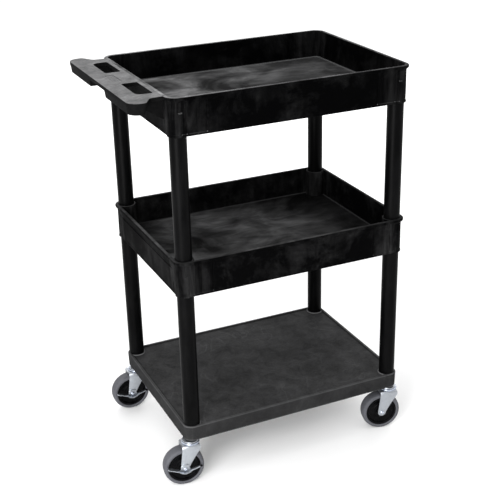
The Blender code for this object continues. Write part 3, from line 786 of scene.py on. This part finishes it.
def grip_outline(side, inset):
    """The skirt under one lobe, moved in by inset."""
    outer = HANDLE_EDGE - CENTRE_X + inset
    inner = HANDLE_EDGE - CENTRE_X + GRIP_WIDTH - inset
    corners = [
        (outer, BRIDGE_HALF_WIDTH + inset, 0.002),
        (inner, BRIDGE_HALF_WIDTH + inset, 0.002),
        (inner, HANDLE_HALF_WIDTH - inset, 0.010 - inset),
        (outer, HANDLE_HALF_WIDTH - inset, 0.026 - inset),
    ]
    return rounded([(x, side * y, radius) for x, y, radius in corners])


def slot_outline(side):
    """The finger slot between one lobe and the tub."""
    inner = -HALF_LENGTH - 0.0078
    outer = inner - SLOT_WIDTH
    corners = [
        (inner, SLOT_START, 0.004),
        (outer, SLOT_START, 0.004),
        (outer, SLOT_END, 0.015),
        (inner, SLOT_END, 0.004),
    ]
    return rounded([(x, side * y, radius) for x, y, radius in corners])


def label_outline(shrink):
    """The small plate's seat on the bridge, made smaller by shrink."""
    x = -HALF_LENGTH - 0.0440
    half_x = LABEL_WIDTH / 2 - shrink
    half_y = LABEL_LENGTH / 2 - shrink
    signs = ((1, 1), (-1, 1), (-1, -1), (1, -1))
    return rounded([(x + sx * half_x, sy * half_y, 0.003) for sx, sy in signs], 4)


def make_handle(material):
    """The plate with its hollow grips, their webs, the finger slots and the small plate's seat."""
    top, clear = HANDLE_TOP, 0.01
    wall = -HALF_LENGTH + WALL_TOP_INSET + 0.0015
    grip = HANDLE_EDGE - CENTRE_X + GRIP_WIDTH - 0.002
    web = [(grip, top - GRIP_DEPTH + 0.004), (wall, top - GRIP_DEPTH - 0.030),
           (wall, top - HANDLE_THICKNESS / 2), (grip, top - HANDLE_THICKNESS / 2)]
    handle = prism("push_handle", handle_outline(), top - HANDLE_THICKNESS, top)
    for side in (1, -1):
        skirt = [[(x, y, z) for x, y in grip_outline(side, inset)]
                 for inset, z in ((0.0030, top - GRIP_DEPTH), (0.0004, top - 0.0030))]
        combine(handle, solid("skirt", skirt), "UNION")
        combine(handle, solid("web", [[(x, side * y, z) for x, z in web] for y in WEB_Y]), "UNION")
        hollow = grip_outline(side, 0.0030 + GRIP_WALL)
        low = top - GRIP_DEPTH - clear
        combine(handle, prism("hollow", hollow, low, top - HANDLE_THICKNESS), "DIFFERENCE")
        combine(handle, prism("slot", slot_outline(side), top - 0.045, top + clear), "DIFFERENCE")
    seat = prism("seat", label_outline(0.0), top - LABEL_DEPTH, top + clear)
    combine(handle, seat, "DIFFERENCE")
    add_bevel(handle, 0.0016, 3, 35.0)
    handle.data.materials.clear()
    finish_piece(handle, material, "cart", ["top_tub"])


def make_label_plate(material):
    bm = bmesh.new()
    outline = label_outline(GAP)
    levels = (HANDLE_TOP - LABEL_DEPTH + GAP, HANDLE_TOP - 0.0004)
    add_loft(bm, [[(CENTRE_X + x, y, z) for x, y in outline] for z in levels])
    make_piece("handle_plate_blank", bm, material, "cart", ["handle_label_plate"],
               bevel=0.0002)


# -------------------- legs

def make_leg(node, material):
    low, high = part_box(node)
    x, y = (low.x + high.x) / 2, (low.y + high.y) / 2
    inner = LEG_RADIUS - LEG_WALL
    chamfer = 0.0006
    span = high.z - low.z
    outside = [(LEG_RADIUS - chamfer, 0.0), (LEG_RADIUS, chamfer)]
    rings = 10
    outside += [(LEG_RADIUS, chamfer + (span - 2 * chamfer) * k / rings) for k in range(1, rings + 1)]
    outside += [(LEG_RADIUS - chamfer, span), (inner, span), (inner, 0.0)]
    place = Matrix.Translation((x, y, low.z))
    turned_piece(node + "_tube", outside, place, 64, material, "cart", [node])


# -------------------- casters

class Caster:
    """Places of one caster, read from the frame's joints."""

    def __init__(self, corner):
        joints = {joint["name"]: joint for joint in frame["joints"]}
        swivel = joints["swivel_" + corner]["pos_m"]
        roll = joints["roll_" + corner]
        self.corner = corner
        spin = Matrix.Rotation(atan2(-roll["axis"][0], roll["axis"][1]), 4, "Z")
        self.head = Matrix.Translation((swivel[0], swivel[1], 0)) @ spin
        self.axle = Matrix.Translation(roll["pos_m"]) @ spin


def fork_path():
    """Stations (y, z, low x, high x, normal y, normal z) from one leg's tip over the crown to the other's."""
    tip = 0.0105
    middle = (FORK_INNER + FORK_OUTER) / 2
    bend = 0.0042
    shoulder = CROWN_TOP - 0.0120
    sheet_level = (CROWN_UNDERSIDE + CROWN_TOP) / 2
    half = []
    for angle in (-86, -72, -58, -44, -30, -15, 0):
        a = radians(angle)
        half.append((WHEEL_RADIUS + tip * sin(a), -TRAIL - tip * cos(a), -TRAIL + tip * cos(a)))
    steps = 10
    for k in range(1, steps + 1):
        t = k / steps
        half.append((
            WHEEL_RADIUS + (shoulder - WHEEL_RADIUS) * t,
            -TRAIL - tip + (TRAIL + tip - CROWN_REAR + 0.0006) * t,
            -TRAIL + tip + (CROWN_FRONT + TRAIL - tip) * (0.86 * t + 0.14 * t * t),
        ))
    leg = [(middle, z, low, high, 1.0, 0.0) for z, low, high in half]
    leg.append((middle, sheet_level - bend, -CROWN_REAR, CROWN_FRONT, 1.0, 0.0))
    for angle in (22, 45, 68, 90):
        a = radians(angle)
        leg.append((middle - bend + bend * cos(a), sheet_level - bend + bend * sin(a),
                    -CROWN_REAR + 0.0020 * sin(a), CROWN_FRONT - 0.0020 * sin(a), cos(a), sin(a)))
    mirrored = [(-y, z, low, high, -ny, nz) for y, z, low, high, ny, nz in reversed(leg)]
    return leg + mirrored


def make_fork(caster, material):
    """The pressed fork: one sheet bent over the wheel, with a raised seat, a rear flange and bosses."""
    bm = bmesh.new()
    half = SHEET / 2
    edge = 0.0005
    rings = []
    for y, z, low, high, ny, nz in fork_path():
        section = [(low, 0.7), (low + edge, 1.0), (high - edge, 1.0), (high, 0.7),
                   (high, -0.7), (high - edge, -1.0), (low + edge, -1.0), (low, -0.7)]
        rings.append([caster.head @ Vector((x, y + ny * half * s, z + nz * half * s)) for x, s in section])
    add_loft(bm, rings)
    proud = 0.0002
    seat = [(0.0064, CROWN_TOP - proud), (0.0195, CROWN_TOP - proud),
            (0.0192, CROWN_TOP + proud), (0.0064, CROWN_TOP + proud)]
    add_turned(bm, seat, caster.head, 48, closed=True)
    flange = [(-CROWN_REAR + 0.0004, CROWN_TOP - 0.0006), (-CROWN_REAR + 0.0024, CROWN_TOP - 0.0003),
              (-CROWN_REAR + 0.0028, CROWN_TOP - 0.0085), (-CROWN_REAR + 0.0008, CROWN_TOP - 0.0090)]
    span = FORK_INNER - 0.0012
    places = (-span, -span / 3, span / 3, span)
    add_loft(bm, [[caster.head @ Vector((x, y, z)) for x, z in flange] for y in places])
    for side in (-1, 1):
        face = side * FORK_OUTER
        boss = [(0.0046, face - side * 0.0005), (0.0088, face - side * 0.0005),
                (0.0082, face + side * proud), (0.0046, face + side * proud)]
        add_turned(bm, boss, caster.axle, 32, axis="Y", closed=True)
    make_piece("fork_" + caster.corner + "_pressing", bm, material, "swivel_" + caster.corner,
               ["fork_" + caster.corner], 40)


def make_swivel_head(caster, bright, satin, plastic):
    """The ring that turns with the fork, the race cup over it, and the stem in its socket."""
    corner = caster.corner
    hole = 0.0063
    low = CROWN_TOP + GAP
    top = low + BEARING_HEIGHT
    r = BEARING_RADIUS
    ring = [(hole, low), (r - 0.0010, low), (r - 0.0003, low + 0.0004), (r, low + 0.0010),
            (r, low + 0.0016), (r - 0.0009, low + 0.0020), (r - 0.0009, low + 0.0025), (r, low + 0.0029),
            (r, top - 0.0014), (r - 0.0005, top - 0.0004), (r - 0.0014, top), (r - 0.0034, top - 0.0002),
            (r - 0.0044, top - 0.0016), (0.0120, top - 0.0020), (0.0110, top - 0.0004), (hole, top - 0.0004)]
    turned_piece("bearing_ring_" + corner, ring, caster.head, 64, bright, "swivel_" + corner,
                 ["swivel_bearing_" + corner], 40)
    low = top + GAP
    top = low + RACE_HEIGHT
    r = RACE_RADIUS
    cup = [(hole, low), (r - 0.0008, low), (r, low + 0.0008), (r, low + 0.0022),
           (r - 0.0006, low + 0.0032), (0.0150, top - 0.0006), (0.0135, top), (hole, top)]
    turned_piece("race_cup_" + corner, cup, caster.head, 56, satin, "cart",
                 ["upper_race_" + corner], 40)
    stem_low, stem_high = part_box("stem_" + corner)
    foot, tip = stem_low.z, stem_high.z
    low, top = top + GAP, BASE_FOOT - GAP
    rod = 0.0053
    pin = [(0.0040, foot), (0.0082, foot + 0.0002), (0.0090, foot + 0.0010), (0.0086, foot + 0.0018),
           (rod, foot + 0.0021), (rod, top - 0.001), (rod, tip - 0.0020), (rod - 0.0012, tip)]
    shoulder = [(rod - 0.0004, low), (0.0098, low), (0.0105, low + 0.0007),
                (0.0105, top - 0.0010), (0.0098, top), (rod - 0.0004, top)]
    bm = bmesh.new()
    add_turned(bm, pin, caster.head, 32)
    add_turned(bm, shoulder, caster.head, 6, closed=True)
    make_piece("stem_pin_" + corner, bm, satin, "cart", ["stem_" + corner], 30)
    low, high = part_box("stem_socket_" + corner)
    bore, radius, chamfer = 0.0057, (high.x - low.x) / 2, 0.0006
    sleeve = [(bore, low.z), (radius - chamfer, low.z), (radius, low.z + chamfer),
              (radius, high.z - chamfer), (radius - chamfer, high.z), (bore, high.z)]
    turned_piece("stem_sleeve_" + corner, sleeve, caster.head, 32, plastic, "cart",
                 ["stem_socket_" + corner], 40)


def both_sides(profile):
    """Half a wheel's profile of (radius, height) pairs, with its mirror image."""
    return profile + [(radius, -height) for radius, height in reversed(profile)]


def make_wheel(caster, tread, hub):
    """The round-shouldered tread, and the hub's disc with its step, groove and long boss."""
    corner = caster.corner
    half, r, inner = TREAD_HALF_WIDTH, WHEEL_RADIUS, TREAD_INNER
    side = [(inner, half - 0.0010), (inner + 0.0008, half - 0.0003), (r - 0.0062, half - 0.0001)]
    side += arc((r - 0.0062, half - 0.0056), 0.0055, 80, 18, 6)
    side += [(r - 0.0003, 0.0086), (r, 0.0062), (r, 0.0030), (r, 0.0004)]
    turned_piece("tread_ring_" + corner, both_sides(side), caster.axle, 96, tread, "wheel_" + corner,
                 ["tread_" + corner], 50, "Y")
    boss, rim = FORK_INNER - 0.0006, HUB_RIM
    side = [(0.0079, boss), (0.0118, boss), (0.0125, boss - 0.0006), (0.0131, half - 0.0052),
            (0.0150, half - 0.0062), (0.0200, half - 0.0066), (0.0208, half - 0.0060),
            (0.0216, half - 0.0066), (0.0320, half - 0.0062), (0.0338, half - 0.0052),
            (0.0350, half - 0.0024), (0.0358, half - 0.0016), (0.0390, half - 0.0014),
            (rim - 0.0004, half - 0.0018), (rim, half - 0.0026)]
    turned_piece("hub_disc_" + corner, both_sides(side), caster.axle, 72, hub, "wheel_" + corner,
                 ["hub_" + corner], 30, "Y")


def make_axle(caster, bright, satin):
    """The domed bolt through fork and hub, its nut, and the sleeve that the hub turns on."""
    corner = caster.corner
    body = "swivel_" + corner
    low, high = axle_span(caster, "axle_bolt_" + corner)
    head = low + 0.0034
    bolt = [(0.0001, low + 0.0006), (0.0016, low + 0.0005), (0.0019, low), (0.0038, low + 0.0003),
            (0.0048, low + 0.0010), (0.0054, low + 0.0020), (0.0054, head - 0.0003), (0.0051, head),
            (0.0040, head), (0.0040, high - 0.0008), (0.0032, high)]
    bm = bmesh.new()
    add_turned(bm, bolt, caster.axle, 40, axis="Y")
    make_piece("axle_rivet_" + corner, bm, bright, body, ["axle_bolt_" + corner], 30)
    low, high = axle_span(caster, "axle_nut_" + corner)
    nut = [(0.0045, low), (0.0078, low), (0.0080, low + 0.0006),
           (0.0080, high - 0.0012), (0.0070, high), (0.0045, high)]
    turned_piece("axle_nut_" + corner + "_hex", nut, caster.axle, 6, satin, body,
                 ["axle_nut_" + corner], 30, "Y")
    low, high = axle_span(caster, "axle_sleeve_" + corner)
    sleeve = [(0.0043, low), (0.0070, low), (0.0074, low + 0.0004),
              (0.0074, high - 0.0004), (0.0070, high), (0.0043, high)]
    turned_piece("axle_bush_" + corner, sleeve, caster.axle, 32, satin, body,
                 ["axle_sleeve_" + corner], 40, "Y")


def axle_span(caster, node):
    """Lowest and highest place of a CAD node along the caster's axle."""
    back = caster.axle.inverted()
    along = [(back @ vertex.co).y for vertex in frame["nodes"][node].data.vertices]
    return min(along), max(along)


LEVER_STATIONS = (  # x, level and width along the brake lever
    (-0.0440, 0.0088, 0.0064),
    (-0.0425, 0.0086, 0.0082),
    (-0.0340, 0.0066, 0.0100),
    (-0.0200, 0.0012, 0.0104),
    (-0.0080, -0.0060, 0.0106),
    (0.0000, -0.0074, 0.0112),
    (0.0080, -0.0058, 0.0100),
    (0.0200, -0.0012, 0.0074),
    (0.0370, 0.0016, 0.0045),
)


def lever_section(x):
    """Level and width of the brake lever at x, on eased lines through its stations."""
    for first, second in zip(LEVER_STATIONS, LEVER_STATIONS[1:]):
        if x <= second[0]:
            t = (x - first[0]) / (second[0] - first[0])
            s = 0.5 * t * t * (3 - 2 * t) + 0.5 * t
            return first[1] + (second[1] - first[1]) * s, first[2] + (second[2] - first[2]) * s
    return LEVER_STATIONS[-1][1:]


def make_brake(caster, metal, plastic):
    """The foot lever: a pressed flange with a dished pad, on a web that turns about the axle."""
    corner = caster.corner
    body = "brake_" + corner
    face = -FORK_OUTER - GAP
    sheet = 0.0020
    bm = bmesh.new()
    rings = []
    steps = 60
    first, last = LEVER_STATIONS[0][0], LEVER_STATIONS[-1][0]
    for k in range(steps + 1):
        x = first + (last - first) * k / steps
        z, width = lever_section(x)
        top, under = [], []
        for w in (0.0, 0.15, 0.35, 0.55, 0.75, 0.92, 1.0):
            dish = 0.0014 * peak(x, -0.0350, 0.0050) * peak(w, 0.55, 0.28)
            roll = 0.0011 * smooth_step(w, 0.70, 1.0)
            top.append((x, face - width * w, z + sheet / 2 - dish - roll))
            under.append((x, face - width * w, z - sheet / 2 - dish - roll))
        rings.append([caster.axle @ Vector(point) for point in top + under[::-1]])
    add_loft(bm, rings)
    sides = 32
    hole = arc((0.0, 0.0), 0.0046, 180, -180, sides)[:-1]
    rim = [web_edge(pi - 2 * pi * k / sides) for k in range(sides)]
    small_rim = [(x * 0.96, z * 0.96) for x, z in rim]
    outer = face - sheet
    web = [(hole, face), (rim, face), (rim, outer + 0.0004), (small_rim, outer), (hole, outer)]
    add_loft(bm, [[caster.axle @ Vector((x, y, z)) for x, z in outline] for outline, y in web], closed=True)
    make_piece("brake_rocker_" + corner, bm, metal, body, ["brake_lever_" + corner], 40)
    bm = bmesh.new()
    half_y, half_z, radius = 0.0019, 0.0024, 0.0009
    outline = rounded([(-half_y, -half_z, radius), (half_y, -half_z, radius),
                       (half_y, half_z, radius), (-half_y, half_z, radius)], 4)
    sections = ((0.0376, 0.75), (0.0380, 0.95), (0.0390, 1.0), (0.0418, 1.0), (0.0428, 0.92), (0.0434, 0.7))
    rings = []
    for x, scale in sections:
        rings.append([caster.axle @ Vector((x, face - half_y + y * scale, 0.0020 + z * scale))
                      for y, z in outline])
    add_loft(bm, rings)
    make_piece("brake_tip_" + corner + "_cap", bm, plastic, body, ["brake_tip_" + corner],
               50)


def web_edge(angle):
    """Outline of the lever's web in direction angle from the axle: an upright rounded shield."""
    across, up = cos(angle), sin(angle)
    reach_up = 0.0122 if up > 0 else 0.0066
    reach_across = 0.0112 if up > 0 else 0.0130
    power = 3.2
    scale = (abs(across / reach_across) ** power + abs(up / reach_up) ** power) ** (-1 / power)
    return across * scale, up * scale


# -------------------- stage, light and camera

def make_camera():
    """The camera stands off the right-hand rear corner and looks down on the cart."""
    yaw, pitch, roll = radians(24.49), radians(-23.52), radians(-1.29)
    forward = Vector((sin(yaw) * cos(pitch), cos(yaw) * cos(pitch), sin(pitch)))
    right = forward.cross(Vector((0, 0, 1))).normalized()
    up = right.cross(forward)
    tilted_right = right * cos(roll) + up * sin(roll)
    tilted_up = up * cos(roll) - right * sin(roll)
    data = bpy.data.cameras.new("camera")
    data.sensor_width = 36.0
    data.lens = 76.93
    data.clip_end = 100.0
    camera = bpy.data.objects.new("camera", data)
    place = Matrix((tilted_right, tilted_up, -forward)).transposed().to_4x4()
    place.translation = Vector((CENTRE_X - 1.0591, -2.2837, 1.5865))
    camera.matrix_world = place
    bpy.context.scene.collection.objects.link(camera)
    bpy.context.scene.camera = camera


def area_light(name, place, target, size, power):
    data = bpy.data.lights.new(name, "AREA")
    data.shape = "RECTANGLE"
    data.size, data.size_y = size
    data.energy = power
    light = bpy.data.objects.new(name, data)
    light.location = place
    light.rotation_euler = (Vector(target) - Vector(place)).to_track_quat("-Z", "Y").to_euler()
    light.visible_camera = False
    bpy.context.scene.collection.objects.link(light)


def make_stage():
    """A pale floor under a plain white sky, a very soft overhead sun and two softboxes."""
    bpy.ops.mesh.primitive_plane_add(size=60.0, location=(0, 0, 0))
    floor = bpy.context.object
    floor.name = "floor"
    floor.data.materials.append(floor_material())
    world = bpy.data.worlds.new("studio")
    world.use_nodes = True
    background = world.node_tree.nodes["Background"]
    background.inputs["Color"].default_value = (1.0, 1.0, 1.0, 1.0)
    background.inputs["Strength"].default_value = 0.50
    bpy.context.scene.world = world
    data = bpy.data.lights.new("overhead", "SUN")
    data.energy = 2.3
    data.angle = radians(150)
    light = bpy.data.objects.new("overhead", data)
    light.rotation_euler = (radians(-8), radians(6), 0)
    bpy.context.scene.collection.objects.link(light)
    area_light("back_softbox", (1.7, 3.8, 1.75), (0, 0, 0.9), (3.4, 0.9), 60.0)
    area_light("left_softbox", (-1.5, -1.5, 0.9), (-0.2, -0.1, 0.6), (1.00, 1.8), 60.0)
    bpy.context.scene.view_settings.view_transform = "Standard"


def main():
    top_foam = foam_material("black_structural_foam", (0.0008, 0.0008, 0.0009), (0.015, 0.015, 0.0153),
                             (0.400, 0.400, 0.406), (0.015, 0.015, 0.0153), (0.20, -0.28), (0.34, 0.70))
    # painted shade: the middle tub's foam is a copy of the top tub's with a much darker floor haze, for the
    # light that the top tub keeps off it
    shaded_middle_foam = foam_material("black_foam_shaded_copy", (0.0012, 0.0012, 0.0013), (0.0035, 0.0035, 0.0036),
                                (0.120, 0.120, 0.122), (0.024, 0.024, 0.0244), (0.30, 0.02), (0.36, 0.70))
    # the handle's pale top tone is painted sheen over its near-black sides
    handle_foam = grained_foam_material("black_handle_foam", (0.004, 0.004, 0.0041),
                                        (0.054, 0.054, 0.055), (0.230, 0.230, 0.233), False)
    base_foam = grained_foam_material("black_base_foam", (0.019, 0.019, 0.0194),
                                      (0.011, 0.011, 0.0113), (0.048, 0.048, 0.049), True)
    legs = leg_material()
    zinc = zinc_material("bright_zinc", 0.32, (0.38, 0.40, 0.43))
    polished = zinc_material("polished_zinc", 0.16, (0.50, 0.54, 0.62))
    tread = tread_material()
    hub = hub_material()
    make_top_tub(top_foam)
    make_handle(handle_foam)
    make_label_plate(label_material())
    make_middle_tub(shaded_middle_foam)
    make_base_shelf(base_foam)
    for corner in CORNERS:
        for tier in ("upper_leg_", "lower_leg_"):
            make_leg(tier + corner, legs)
        caster = Caster(corner)
        make_fork(caster, zinc)
        make_swivel_head(caster, polished, zinc, hub)
        make_wheel(caster, tread, hub)
        make_axle(caster, polished, zinc)
        if corner in BRAKED:
            make_brake(caster, zinc, hub)
    make_stage()
    make_camera()


main()
